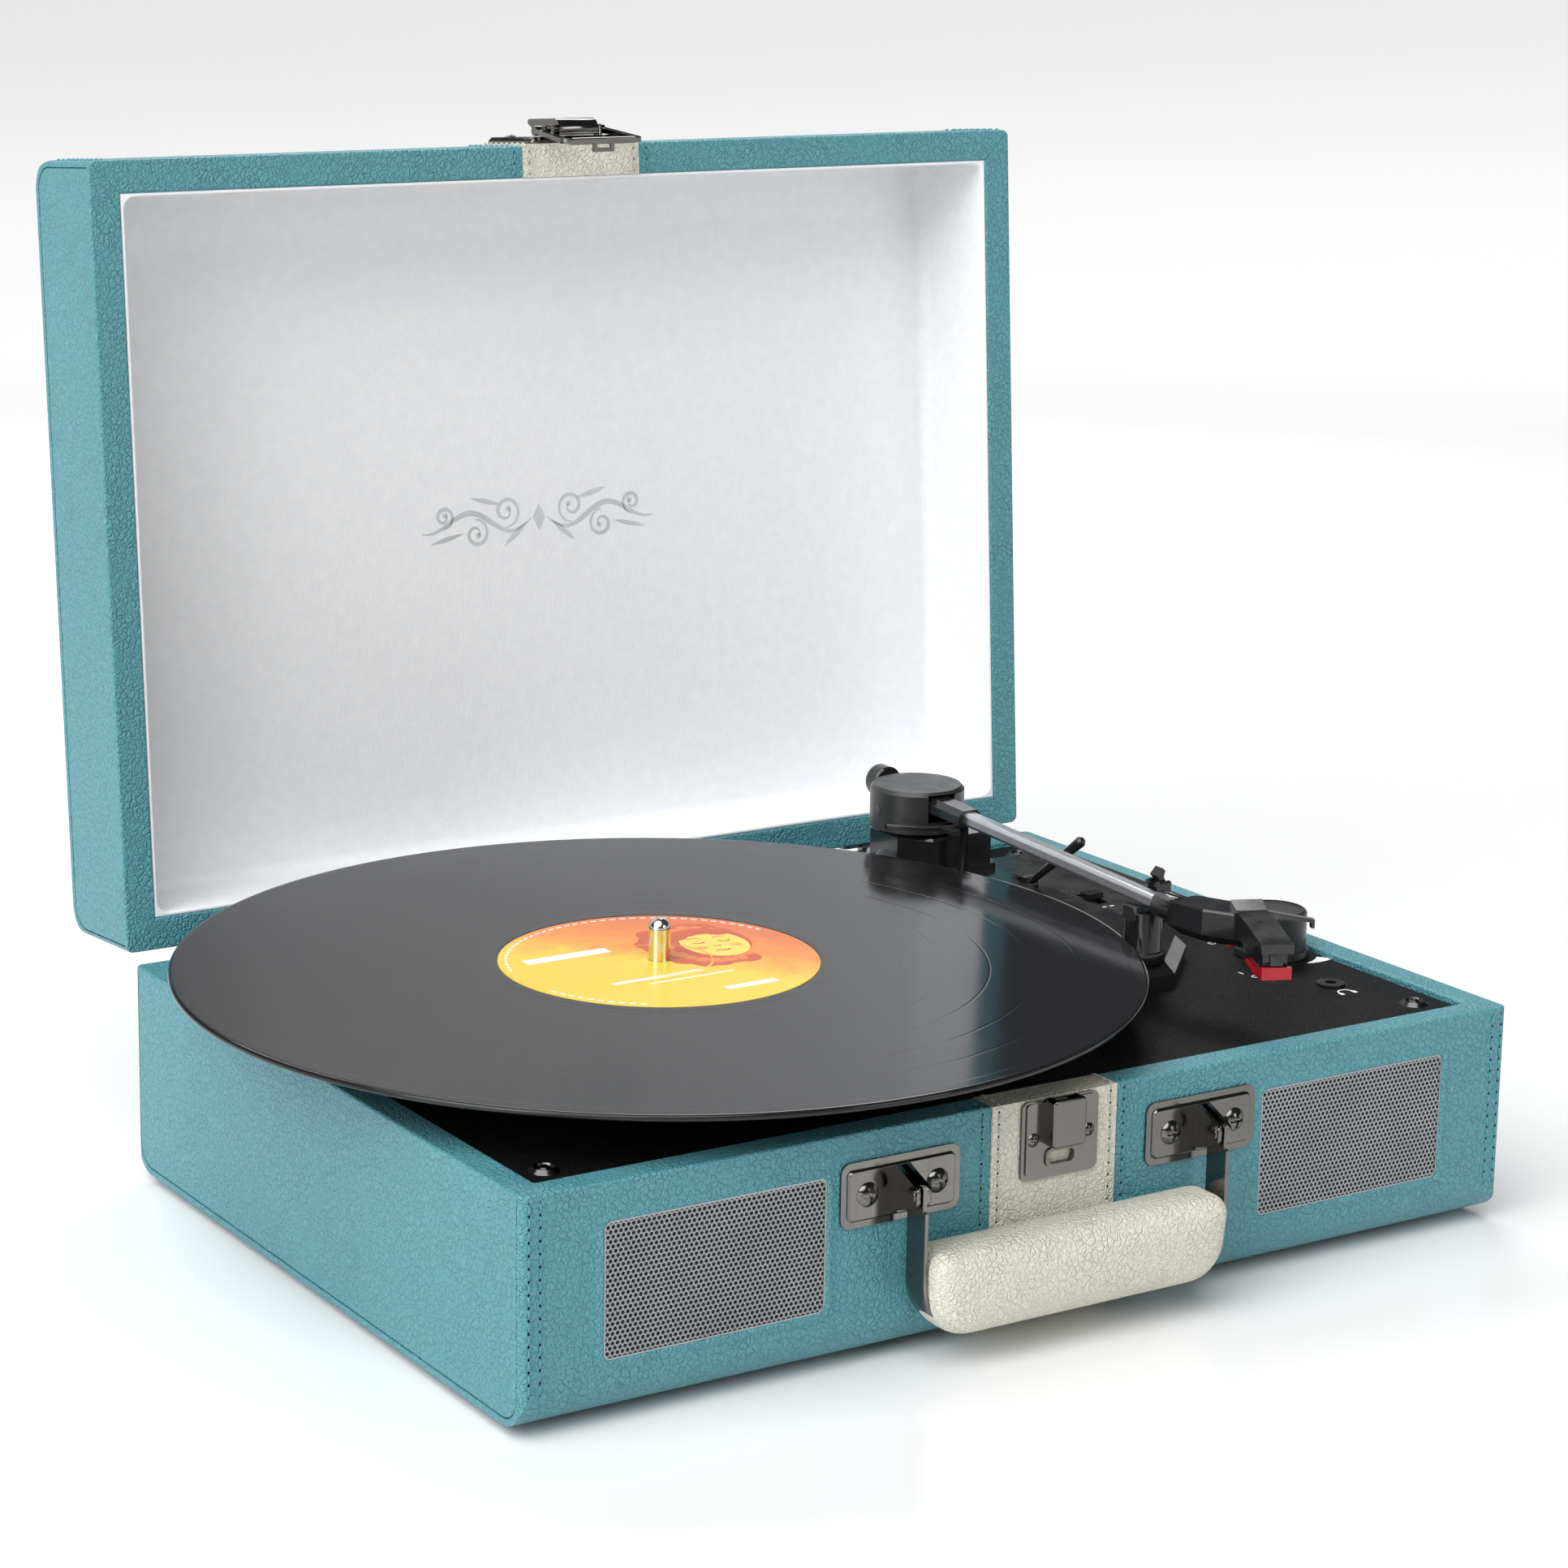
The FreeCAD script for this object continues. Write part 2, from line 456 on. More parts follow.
def make_latch():
    """Draw latch on the lid's front: eared plate, boxed lever, and a flat loop that reaches over the rim."""
    y = FRONT - BAND_T
    face = y - 2.2
    plate = fronted(-18.0, 18.0, face, y, RIM_Z + 1.5, RIM_Z + 33.0, 2.0)
    plate = bevelled(plate, 1.2, lambda b: abs(b.YMin - face) < 1e-4 and abs(b.YMax - face) < 1e-4)
    plate = plate.cut(block(-8.2, 8.2, y - 3, y + 1, RIM_Z, LATCH_PIN_Z + 4.6))
    pin_y = y - LATCH_OUT
    ears = [sided(e, e + 1.2, pin_y - EAR_R, y - 1.0, LATCH_PIN_Z - EAR_R, LATCH_PIN_Z + EAR_R, 0.8, 0.8)
            for e in (-9.8, 8.6)]
    pin = rod(1.1, 19.6, V(-9.8, pin_y, LATCH_PIN_Z), X)
    rivets = [pan_screw(V(d, face, RIM_Z + 27.5), -Y, 2.0, 0.9, 1.0, 5.0) for d in (-11.5, 11.5)]
    plate = join([plate, pin] + ears + rivets)

    # lever: a shallow pressed box, open towards the lid, rounded about its pin, that narrows to a thumb plate
    w, wall, z1 = LEVER_W / 2, 1.2, RIM_Z + 22.5
    top, low = y - LEVER_TOP, y - 2.5
    side = [(V(-w, low, LATCH_PIN_Z - 3.4), 1.0), (V(-w, top, LATCH_PIN_Z - 3.8), 3.6), (V(-w, top, z1), 1.2),
            (V(-w, top + 1.6, z1), 0), (V(-w, low, z1 - 8.0), 0)]
    lever = outline(side).extrude(X * LEVER_W)
    lever = lever.common(rod(LEVER_END_R, LEVER_W, V(-w, pin_y, LATCH_PIN_Z), X).fuse(
        block(-w, w, y - 12, y, LATCH_PIN_Z, z1)).removeSplitter())
    lever = lever.cut(block(-w + wall, w - wall, top + wall, y, LATCH_PIN_Z - 2.6, z1 + 1))
    lever = lever.cut(rod(1.1 + RUN, 30, V(-15, pin_y, LATCH_PIN_Z), X))
    lever = lever.cut(rod(1.0 + RUN, 30, V(-15, pin_y, LOOP_PIN_Z), X))

    # loop: a flat frame that widens towards its bar, two eyes on the axle, and a bent tongue under the bar
    thick, end = 0.8, LOOP_PIN_Z - LOOP_LEN
    outer = outline([(V(-13.4, pin_y - thick, LOOP_PIN_Z), 0), (V(-15.6, pin_y - thick, end - 1.2), 3.0),
                     (V(15.6, pin_y - thick, end - 1.2), 3.0), (V(13.4, pin_y - thick, LOOP_PIN_Z), 0)])
    inner = outline([(V(-10.6, pin_y - 2, LOOP_PIN_Z + 1), 0), (V(-12.8, pin_y - 2, end + 1.0), 1.5),
                     (V(12.8, pin_y - 2, end + 1.0), 1.5), (V(10.6, pin_y - 2, LOOP_PIN_Z + 1), 0)])
    frame = outer.extrude(Y * 2 * thick).cut(inner.extrude(Y * 4))
    eyes = [rod(1.7, 2.8, V(e, pin_y, LOOP_PIN_Z), X) for e in (-13.4, 10.6)]
    axle = rod(1.0, 25.0, V(-12.5, pin_y, LOOP_PIN_Z), X)
    bar = rod(1.2, 24.0, V(-12.0, pin_y, end), X)
    tongue = upright(-3.9, 3.9, pin_y, pin_y + 3.6, end - 1.0, end + 0.2, 0).cut(
        block(-2.6, 2.6, pin_y + 0.9, pin_y + 2.4, end - 2, end + 2))
    loop = join([frame, axle, bar, tongue] + eyes)
    loop.rotate(V(0, pin_y, LOOP_PIN_Z), X, LOOP_DROOP)
    return plate, lever, loop


# ---------------------------------------------------------------- deck
def make_speakers():
    baskets, cones = [], []
    inner_y = FRONT + RIM - SKIN
    for s in (-1, 1):
        x = s * GRILLE_X
        flange = fronted(x - 37, x + 37, inner_y, inner_y + 1.5, GRILLE_Z - 21.5, GRILLE_Z + 21.5, 6.0)
        mouth = rod(18.5, 3, V(x, inner_y - 0.5, GRILLE_Z), Y)
        shell = Part.makeCone(19.5, 11, 12, V(x, inner_y + 1.5, GRILLE_Z), Y)
        hollow = Part.makeCone(18.5, 10, 12, V(x, inner_y + 1.0, GRILLE_Z), Y)
        magnet = rod(16, 8, V(x, inner_y + 13.5, GRILLE_Z), Y)
        baskets.append(join([flange.cut(mouth), shell.cut(hollow), magnet]))
        cone = Part.makeCone(18.0, 9.5, 10.0, V(x, inner_y + 1.6, GRILLE_Z), Y)
        void = Part.makeCone(17.4, 8.6, 9.6, V(x, inner_y + 1.4, GRILLE_Z), Y)
        cap = Part.makeSphere(6.5, V(x, inner_y + 13.5, GRILLE_Z)).common(
            block(x - 9, x + 9, inner_y + 6, inner_y + 11.4, GRILLE_Z - 9, GRILLE_Z + 9))
        cones.append(join([cone.cut(void), cap]))
    return group(baskets), group(cones)


def make_platter():
    c = V(SPINDLE_X, SPINDLE_Y, 0)
    disc = rod(PLATTER_R, PLATTER_H, c + Z * PLATTER_Z)
    disc = softened(disc, 1.0, at_height(MAT_Z))
    hollow = ring(PLATTER_R - 3, BELT_RING_R, PLATTER_H - 3, c + Z * PLATTER_Z)
    inner = ring(BELT_RING_R - 3, 12, PLATTER_H - 3, c + Z * PLATTER_Z)
    platter = disc.cut(hollow).cut(inner)
    mat = ring(PLATTER_R - 2, SPINDLE_R + RUN + 0.3, MAT_T, c + Z * MAT_Z)
    bore = rod(SPINDLE_R + RUN, 100, c)
    return platter.cut(bore), mat


def make_record():
    c = V(SPINDLE_X, SPINDLE_Y, 0)
    disc = rod(RECORD_R, RECORD_T, c + Z * (RECORD_TOP - RECORD_T))
    disc = softened(disc, 0.7, lambda b: True)
    disc = disc.cut(rod(LABEL_R + 0.1, 1, c + Z * (RECORD_TOP - 0.25)))
    bore = rod(SPINDLE_R + RUN, 100, c)
    label = rod(LABEL_R, 0.2, c + Z * (RECORD_TOP - 0.25))
    return disc.cut(bore), label.cut(bore)


def make_spindle():
    c = V(SPINDLE_X, SPINDLE_Y, 0)
    foot, step, dome = 50.0, RECORD_TOP + GAP, RECORD_TOP + SPINDLE_ABOVE - SPINDLE_END_R
    shaft = rod(SPINDLE_R, step - foot, c + Z * foot)
    end = rod(SPINDLE_END_R, dome - step, c + Z * step)
    tip = Part.makeSphere(SPINDLE_END_R, c + Z * dome)
    bush = join([ring(7.0, SPINDLE_R, 16, c + Z * (PLATE_Z - PLATE_T - 13.0)),
                 ring(11.0, SPINDLE_R, 1.6, c + Z * PLATE_Z)])
    return join([shaft, end, tip]), bush


def make_motor():
    c = V(MOTOR_X, MOTOR_Y, 0)
    top = PLATE_Z - PLATE_T
    can = join([rod(16, 24, c + Z * (top - 26)),
                upright(c.x - 22, c.x + 22, c.y - 12, c.y + 12, top - 2, top, 4)])
    can = can.cut(rod(1.4, 40, c + Z * (top - 20)))
    shaft = rod(1.0, PLATTER_Z + 6.0 - (top - 18), c + Z * (top - 18))
    pulley = join([shaft, rod(PULLEY_R + 1, 1, c + Z * (PLATTER_Z + 0.6)),
                   rod(PULLEY_R, 5.4, c + Z * (PLATTER_Z + 1.6)),
                   rod(PULLEY_R + 1, 1, c + Z * (PLATTER_Z + 6.6))])
    return can, pulley, c


def make_belt(motor):
    """Flat belt round the platter's ring and the pulley: two arcs and the straight runs between them."""
    z0, h = PLATTER_Z + 2.0, 4.4
    centre = V(SPINDLE_X, SPINDLE_Y, z0)
    far = V(motor.x, motor.y, z0)
    away = (far - centre)
    span = away.Length
    away.normalize()
    side = V(-away.y, away.x, 0)

    def loop(big, small):
        tilt = math.acos((big - small) / span)
        marks = []
        for s in (1, -1):
            spoke = away * math.cos(tilt) + side * (s * math.sin(tilt))
            marks.append((centre + spoke * big, far + spoke * small))
        (a0, b0), (a1, b1) = marks
        wire = Part.Wire([Part.Arc(a1, centre - away * big, a0).toShape(), Part.LineSegment(a0, b0).toShape(),
                          Part.Arc(b0, far + away * small, b1).toShape(), Part.LineSegment(b1, a1).toShape()])
        return Part.Face(wire).extrude(Z * h)

    clear = 0.05
    return loop(BELT_RING_R + clear + BELT_T, PULLEY_R + clear + BELT_T).cut(
        loop(BELT_RING_R + clear, PULLEY_R + clear))


def make_plate(corners, motor):
    x, y = HX - RIM - GAP, HY - RIM - GAP
    plate = block(-x, x, -y, y, PLATE_Z - PLATE_T, PLATE_Z)
    plate = hole_ring(plate, 2.2, corners, 0, 100)
    plate = hole_ring(plate, 7.0, [(SPINDLE_X, SPINDLE_Y)], 0, 100)
    plate = hole_ring(plate, PULLEY_R + 2, [(motor.x, motor.y)], 0, 100)
    plate = hole_ring(plate, 3.6, [(KNOB_X, KNOB_Y)], 0, 100)
    plate = hole_ring(plate, 3.0, [(JACK_X, JACK_Y)], 0, 100)
    plate = hole_ring(plate, 1.6, [(LED_X, LED_Y)], 0, 100)
    plate = hole_ring(plate, 4.2, [(PIVOT_X, PIVOT_Y)], 0, 100)
    for sx, sy in ((STOP_X, STOP_Y), (SPEED_X, SPEED_Y)):
        plate = plate.cut(block(sx - 2.2, sx + 2.2, sy - 6.5, sy + 6.5, 0, 100))
    return plate


def make_plate_screws(corners):
    washers, screws = [], []
    for x, y in corners:
        c = V(x, y, PLATE_Z)
        cup = Part.makeCone(4.6, 3.4, 1.2, c, Z).cut(Part.makeCone(2.2, 3.0, 1.3, c, Z))
        washers.append(cup)
        screws.append(pan_screw(c + Z * 0.4, Z, 2.0, 1.2, 1.1, 14.0))
    return group(washers), group(screws)


CONSOLE_TOP = PLATE_Z + 3.2
RAIL_TOP = CONSOLE_TOP + 2.0


def make_console():
    """Low moulding to the right of the arm, with the speed switch's slot and a rail along the wall."""
    body = block(130.5, 165.0, 10.0, 98.0, PLATE_Z, CONSOLE_TOP)
    body = bevelled(body, 1.2, at_height(CONSOLE_TOP))
    rail = block(155.5, 165.0, 12.0, 96.0, CONSOLE_TOP - 0.5, RAIL_TOP)
    rail = bevelled(rail, 1.2, at_height(RAIL_TOP))
    body = join([body, rail])
    return body.cut(block(SPEED_X - 2.2, SPEED_X + 2.2, SPEED_Y - 6.5, SPEED_Y + 6.5, 0, 100))


def make_arm_base():
    """Long faceted moulding under the arm: a turret for the pivot at the back, and a slot for the cue lever."""
    x, y = PIVOT_X, PIVOT_Y
    plan = [(84.0, 101.0), (84.0, -42.0), (91.0, -53.0), (103.0, -53.0), (127.0, -29.0), (127.0, 90.0),
            (117.0, 112.0), (92.0, 112.0)]
    body = extruded(plan, PLATE_Z, ARM_BASE_Z)
    body = bevelled(body, 3.6, at_height(ARM_BASE_Z))
    turret_plan = [(-12.5, -6.5), (-5.0, -17.4), (19.5, -17.4), (21.5, -14.0), (21.5, 11.0), (14.0, 18.5),
                   (-6.0, 18.5), (-12.5, 10.0)]
    turret = extruded([(x + a, y + b) for a, b in turret_plan], PLATE_Z + 1, TURRET_Z)
    turret = bevelled(turret, 0.8, at_height(TURRET_Z))
    grow = 1.08
    flange = extruded([(x + 4 + (a - 4) * grow, y + b * grow) for a, b in turret_plan], ARM_BASE_Z - 1,
                      ARM_BASE_Z + 2.2)
    flare = Part.makeCone(15.5, 11.4, 7.0, V(x, y, ARM_BASE_Z + 2.0), Z)
    neck = rod(11.4, HOUSING_TOP - HOUSING_H - GAP - ARM_BASE_Z, V(x, y, ARM_BASE_Z))
    stem = rod(4.0, 95.0 - 60.0, V(x, y, 60.0))
    c = V(CUE_X, CUE_Y, CUE_Z)
    axle = rod(1.2, 7.0, c - X * 3.5, X)
    slot = block(c.x - 2.8, c.x + 2.8, c.y - 9.0, c.y + 4.5, ARM_BASE_Z - 6.0, ARM_BASE_Z + 1)
    base = join([body, turret, flange, flare, neck, stem]).cut(slot).cut(rod(2.0, 60, V(x, y, 50)))
    return join([base, axle])


# ---------------------------------------------------------------- tonearm
def arm_frame(shape):
    """Turns a shape drawn with the arm pointing straight forward from the pivot to its parked direction."""
    shape = shape.copy()
    shape.rotate(PIVOT, Z, -ARM_AZIMUTH)
    return shape


def along(distance):
    """Point on the tube's centre line, drawn straight forward, at a distance from the pivot."""
    return V(PIVOT_X, PIVOT_Y - distance, ARM_Z - distance * math.tan(math.radians(ARM_SLOPE)))


def make_housing():
    """Round cap that turns on the plinth, cut open front and back for the arm to rise in."""
    c = V(PIVOT_X, PIVOT_Y, 0)
    z0 = HOUSING_TOP - HOUSING_H
    cap = rod(HOUSING_R, HOUSING_H, c + Z * z0)
    cap = bevelled(cap, 1.3, at_height(HOUSING_TOP))
    cap = cap.cut(rod(HOUSING_R - 2.0, HOUSING_H - 2.2, c + Z * (z0 - 0.001)))
    floor = ring(HOUSING_R - 1.0, 4.0 + RUN, 1.8, c + Z * z0)
    cap = join([cap, floor])
    w = 5.4
    cap = cap.cut(block(c.x - w, c.x + w, c.y - 20, c.y - 5, 95.5, HOUSING_TOP - 0.9))
    cap = cap.cut(block(c.x - 4.4, c.x + 4.4, c.y + 6, c.y + 20, 94.0, HOUSING_TOP - 2.2))
    lugs = [block(min(c.x + s * 8, c.x + s * 14), max(c.x + s * 8, c.x + s * 14), c.y - 2.5, c.y + 2.5,
                  z0 + 1.0, GIMBAL_Z + 2.5) for s in (-1, 1)]
    cap = join([cap] + lugs)
    cap = cap.cut(rod(1.2, 40, V(c.x - 20, c.y, GIMBAL_Z), X))
    screws = [join([rod(1.2, HOUSING_R - 7.0, V(c.x + s * 7.0, c.y, GIMBAL_Z), X * s),
                    rod(1.9, 0.5, V(c.x + s * (HOUSING_R - 0.4), c.y, GIMBAL_Z), X * s)]) for s in (-1, 1)]
    return arm_frame(cap), group([arm_frame(s) for s in screws])


def make_yoke():
    """Block inside the cap that pivots on the gimbal screws, with the six-sided socket that holds the tube."""
    c = V(PIVOT_X, PIVOT_Y, 0)
    middle = block(c.x - 5.5, c.x + 5.5, c.y - 6.0, c.y + 6.0, GIMBAL_Z - 2.6, ARM_Z + 1.2)
    middle = middle.fuse(rod(2.6, 13.0, V(c.x - 6.5, c.y, GIMBAL_Z), X))
    tip = along(SOCKET_END)
    root = along(5.5)
    w, h = 5.0, 3.2
    hexagon = [V(-w, 0, -h * 0.6), V(-w * 0.55, 0, -h), V(w * 0.55, 0, -h),
               V(w, 0, -h * 0.6), V(w, 0, h * 0.35),
               V(w * 0.62, 0, h), V(-w * 0.62, 0, h), V(-w, 0, h * 0.35)]
    rings = []
    for p, k in ((root, 1.0), (tip, 0.92)):
        pts = [p + q * k for q in hexagon]
        rings.append(Part.makePolygon(pts + pts[:1]))
    socket = Part.makeLoft(rings, True, True)
    rear = rod(2.2, 20, along(-4.0), Y)
    yoke = join([middle, socket, rear])
    yoke = yoke.cut(rod(1.2 + RUN, 40, V(c.x - 20, c.y, GIMBAL_Z), X))
    return arm_frame(yoke.cut(tube_shape(16.0, 60.0)))


def tube_shape(start, end):
    a, b = along(start), along(end)
    w, h = TUBE_W / 2, TUBE_H / 2
    corners = [(a + V(p, 0, q), 1.3) for p, q in ((-w, -h), (w, -h), (w, h), (-w, h))]
    return outline(corners).extrude(b - a)


def make_counterweight():
    p = along(-18.6)
    weight = rod(5.7, 6.5, V(p.x, p.y, p.z), Y)
    weight = bevelled(weight, 0.6, lambda b: b.YMax - b.YMin < 1e-4)
    return arm_frame(weight.cut(rod(2.2, 20, along(-4.0), Y)))


HEAD_FRONT = (91.5, -115.7, 100.4)
HEAD_W = 10.2
NECK_TOP = 101.4


def head_point(back, right, z):
    """A point of the headshell: back from its front edge, right of its middle."""
    t = math.radians(HEAD_TILT)
    return V(HEAD_FRONT[0] + back * math.sin(t) + right * math.cos(t),
             HEAD_FRONT[1] + back * math.cos(t) - right * math.sin(t), z)


def head_slab(profile, w0, w1):
    """Prism with a side profile of (back, z) points, from w0 to w1 across the head."""
    pts = [head_point(b, w0, z) for b, z in profile]
    wire = Part.makePolygon(pts + pts[:1])
    return Part.Face(wire).extrude(head_point(0, w1, 0) - head_point(0, w0, 0))


def make_head():
    """Cranked neck and sloping head with a finger lift, then the cartridge and the red stylus holder."""
    w = HEAD_W / 2
    z = HEAD_FRONT[2]
    top = [(0, z), (28.7, z + 2.9), (36.5, z + 4.3), (36.5, z + 1.6), (31.0, z + 0.4), (30.0, z - 5.5),
           (9.0, z - 5.5), (8.0, z - 3.0), (0, z - 3.0)]
    shell = head_slab(top, -w, w)
    groove = head_slab([(6.0, z + 2), (20.0, z + 4), (20.0, z + 1.62), (6.0, z + 0.2)], -0.5, 0.5)
    shell = shell.cut(groove)
    collar_at = along(REST_AT + 9.0)
    collar = Part.makeCylinder(4.4, 9.0, collar_at, V(0, -1, -math.tan(math.radians(ARM_SLOPE))))
    collar = arm_frame(collar)
    plan = [(92.8, -61.0), (94.4, -75.8), (99.6, -85.4), (101.0, -90.0), (106.2, -90.4), (109.2, -80.0),
            (109.2, -72.0), (103.8, -61.0)]
    neck = extruded(plan, NECK_TOP - 7.0, NECK_TOP)
    neck = bevelled(neck, 0.6, at_height(NECK_TOP))
    keel = extruded(plan, NECK_TOP - 11.0, NECK_TOP - 7.0)
    keel = bevelled(keel, 2.8, at_height(NECK_TOP - 11.0))
    neck = join([neck, keel])
    reach = [(w - 0.6, z + 2.9), (w + 14.5, z - 0.2), (w + 14.5, z - 3.0), (w + 13.5, z - 3.0),
             (w + 13.5, z - 1.2), (w - 0.6, z + 1.7)]
    pts = [head_point(27.0, across, height) for across, height in reach]
    lift = Part.Face(Part.makePolygon(pts + pts[:1])).extrude(head_point(29.4, 0, 0) - head_point(27.0, 0, 0))
    shell = join([shell, neck, collar, lift])
    shell = shell.cut(arm_frame(tube_shape(20.0, REST_AT + 14.0)))

    cart = head_slab([(2.6, z - 3.2), (7.9, z - 3.2), (8.8, z - 5.7), (24.0, z - 5.7),
                      (24.0, z - 9.6), (5.0, z - 9.6),
                      (2.6, z - 7.4)], -w + 1.2, w - 1.2)
    nose = head_slab([(0.6, z - 3.2), (2.6, z - 3.2), (2.6, z - 7.4), (0.6, z - 7.0)], -2.0, 2.0)
    cart = join([cart, nose])
    red = head_slab([(0.2, z - 7.3), (2.4, z - 7.6), (4.9, z - 9.8), (19.0, z - 9.8), (19.0, z - 10.4),
                     (9.0, z - 11.8), (0.2, z - 11.2)], -w + 0.4, w - 0.4)
    tip = head_point(3.4, 0, STYLUS_Z)
    needle = Part.makeCone(0.15, 0.9, z - 11.0 - STYLUS_Z, tip, Z)
    return shell, cart, join([red, needle])


def make_rest():
    """Stout post with a shelf for the tube, and a slotted lug at its right for the clip's pin."""
    a = arm_point(REST_AT)
    p = V(a.x, a.y, 0)
    shelf = a.z - TUBE_H / 2 - GAP
    post = join([rod(7.4, 3.4, p + Z * ARM_BASE_Z), rod(6.0, shelf - 2 - ARM_BASE_Z, p + Z * ARM_BASE_Z)])
    head = upright(p.x - 6.3, p.x + 8.6, p.y - 3.6, p.y + 3.6, shelf - 4.5, a.z + 4.6, 1.2)
    head = head.cut(block(p.x - 9, p.x + 3.1, p.y - 9, p.y + 9, shelf, a.z + 9))
    head = bevelled(head, 0.5, at_height(a.z + 4.6))
    head = head.cut(block(p.x + 3.0, p.x + 9, p.y - 2.2, p.y + 2.2, a.z - 1.6, a.z + 9))
    pin_at = V(p.x + CLIP_PIN_X, p.y, a.z + CLIP_PIN_Z)
    pin = rod(0.8, 7.2, pin_at - Y * 3.6, Y)
    post = join([post, head, pin])
    return post, rest_clip(a, pin_at)


def arm_point(distance):
    """Parked position of a point on the tube's centre line."""
    a = along(distance)
    t = math.radians(-ARM_AZIMUTH)
    dx, dy = a.x - PIVOT_X, a.y - PIVOT_Y
    return V(PIVOT_X + dx * math.cos(t) - dy * math.sin(t), PIVOT_Y + dx * math.sin(t) + dy * math.cos(t), a.z)


CLIP_PIN_X, CLIP_PIN_Z = 6.2, 2.2    # clip's pin from the tube's centre line
CLIP_OPEN = 50.0


def rest_clip(tube, pin_at):
    """Hooked strip, drawn closed over the tube's right edge and then swung open."""
    y0, w = tube.y - 1.9, 3.8
    x, z = tube.x, tube.z
    strip = outline([(V(x + 1.2, y0, z + 2.8), 0), (V(x + 5.6, y0, z + 2.8), 0), (V(x + 7.4, y0, z + 4.0), 0.3),
                     (V(x + 3.4, y0, z + 4.4), 0.8), (V(x + 2.2, y0, z + 6.2), 0),
                     (V(x + 0.8, y0, z + 6.0), 0)])
    eye = rod(1.9, w, V(pin_at.x, y0, pin_at.z), Y)
    bore = rod(0.8 + RUN, w + 2, V(pin_at.x, y0 - 1, pin_at.z), Y)
    clip = join([strip.extrude(Y * w).cut(bore), eye.cut(bore)])
    clip.rotate(pin_at, Y, CLIP_OPEN)
    return clip


def make_cue():
    """Cue lever on the arm's base, and the curved bridge under the arm that it raises."""
    c = V(CUE_X, CUE_Y, CUE_Z)
    hub = rod(3.0, 4.8, c - X * 2.4, X)
    tilt = math.radians(CUE_LEAN)
    lean = V(0, -math.cos(tilt), math.sin(tilt))
    stick = Part.makeCone(1.1, 1.9, 34.0, c + lean * 1.5, lean)
    tip = Part.makeSphere(1.9, c + lean * 35.5)
    lever = join([hub, stick, tip]).cut(rod(1.2 + RUN, 20, c - X * 10, X))

    r = 24.0
    under = along(r).z - 3.5 - GAP
    arc = ring(r + 1.6, r - 1.6, 1.8, V(PIVOT_X, PIVOT_Y, under - 1.8))
    wedge = [(PIVOT_X, PIVOT_Y)] + [(PIVOT_X + 60 * math.cos(t), PIVOT_Y + 60 * math.sin(t))
                                    for t in (math.radians(a) for a in (-150, -113, -76))]
    arc = arc.common(extruded(wedge, 60, 120))
    post_t = math.radians(-82)
    foot = V(PIVOT_X + r * math.cos(post_t), PIVOT_Y + r * math.sin(post_t), 0)
    bridge = join([arc, rod(1.5, under - 1.0 - 62.0, foot + Z * 62.0)])
    return lever, bridge, foot


# ---------------------------------------------------------------- controls and electrics
def make_controls():
    c = V(KNOB_X, KNOB_Y, PLATE_Z + GAP)
    knob = join([rod(KNOB_R, KNOB_H - GAP, c), rod(KNOB_R + 1.0, 2.2, c)])
    knob = softened(knob, 1.4, at_height(PLATE_Z + KNOB_H))
    dish = rod(KNOB_R - 1.6, 1, c + Z * (KNOB_H - GAP - 0.35))
    knob = knob.cut(dish).cut(rod(3.0, 9.0, c - Z))
    mark = block(c.x - 0.5, c.x + 0.5, c.y + 4.5, c.y + KNOB_R - 1.8, c.z + KNOB_H - 1.3, c.z + KNOB_H)
    knob = knob.cut(mark)
    shaft = rod(3.0, 22.0, V(KNOB_X, KNOB_Y, PLATE_Z - 14.0))
    pot = join([rod(8.0, 9.0, V(KNOB_X, KNOB_Y, PLATE_Z - PLATE_T - 9.4))])
    pot = pot.cut(rod(3.0 + RUN, 20, V(KNOB_X, KNOB_Y, PLATE_Z - 16)))

    led = join([rod(1.5, 3.4, V(LED_X, LED_Y, PLATE_Z - 2.6)),
                Part.makeSphere(1.5, V(LED_X, LED_Y, PLATE_Z + 0.6)),
                rod(2.0, 1.0, V(LED_X, LED_Y, PLATE_Z - PLATE_T - 1.0))])
    jack = join([ring(4.6, 1.8, 0.9, V(JACK_X, JACK_Y, PLATE_Z)),
                 ring(3.0, 1.8, 4.0, V(JACK_X, JACK_Y, PLATE_Z - 3.5)),
                 block(JACK_X - 5, JACK_X + 5, JACK_Y - 6, JACK_Y + 6, PLATE_Z - 17, PLATE_Z - 3.5).cut(
                     rod(1.8, 20, V(JACK_X, JACK_Y, PLATE_Z - 16)))])
    bodies, knobs = [], []
    for sx, sy, top in ((SPEED_X, SPEED_Y, CONSOLE_TOP), (STOP_X, STOP_Y, PLATE_Z)):
        z1 = PLATE_Z - PLATE_T
        bodies.append(block(sx - 4.5, sx + 4.5, sy - 10, sy + 10, z1 - 8.4, z1 - 0.4).cut(
            block(sx - 2.2, sx + 2.2, sy - 6.5, sy + 6.5, z1 - 4.4, z1)))
        stem = block(sx - 1.5, sx + 1.5, sy - 1.6, sy + 1.6, z1 - 4.0, top + 0.6)
        cap = block(sx - 3.2, sx + 3.2, sy - 2.4, sy + 2.4, top + GAP, top + 2.4)
        ribs = [block(sx - 4, sx + 4, sy + d - 0.25, sy + d + 0.25, top + 2.0, top + 3)
                for d in (-1.5, -0.5, 0.5, 1.5)]
        slider = join([stem, cap])
        for r in ribs:
            slider = slider.cut(r)
        knobs.append(slider)
    return join([knob, shaft]), pot, led, jack, group(bodies), knobs


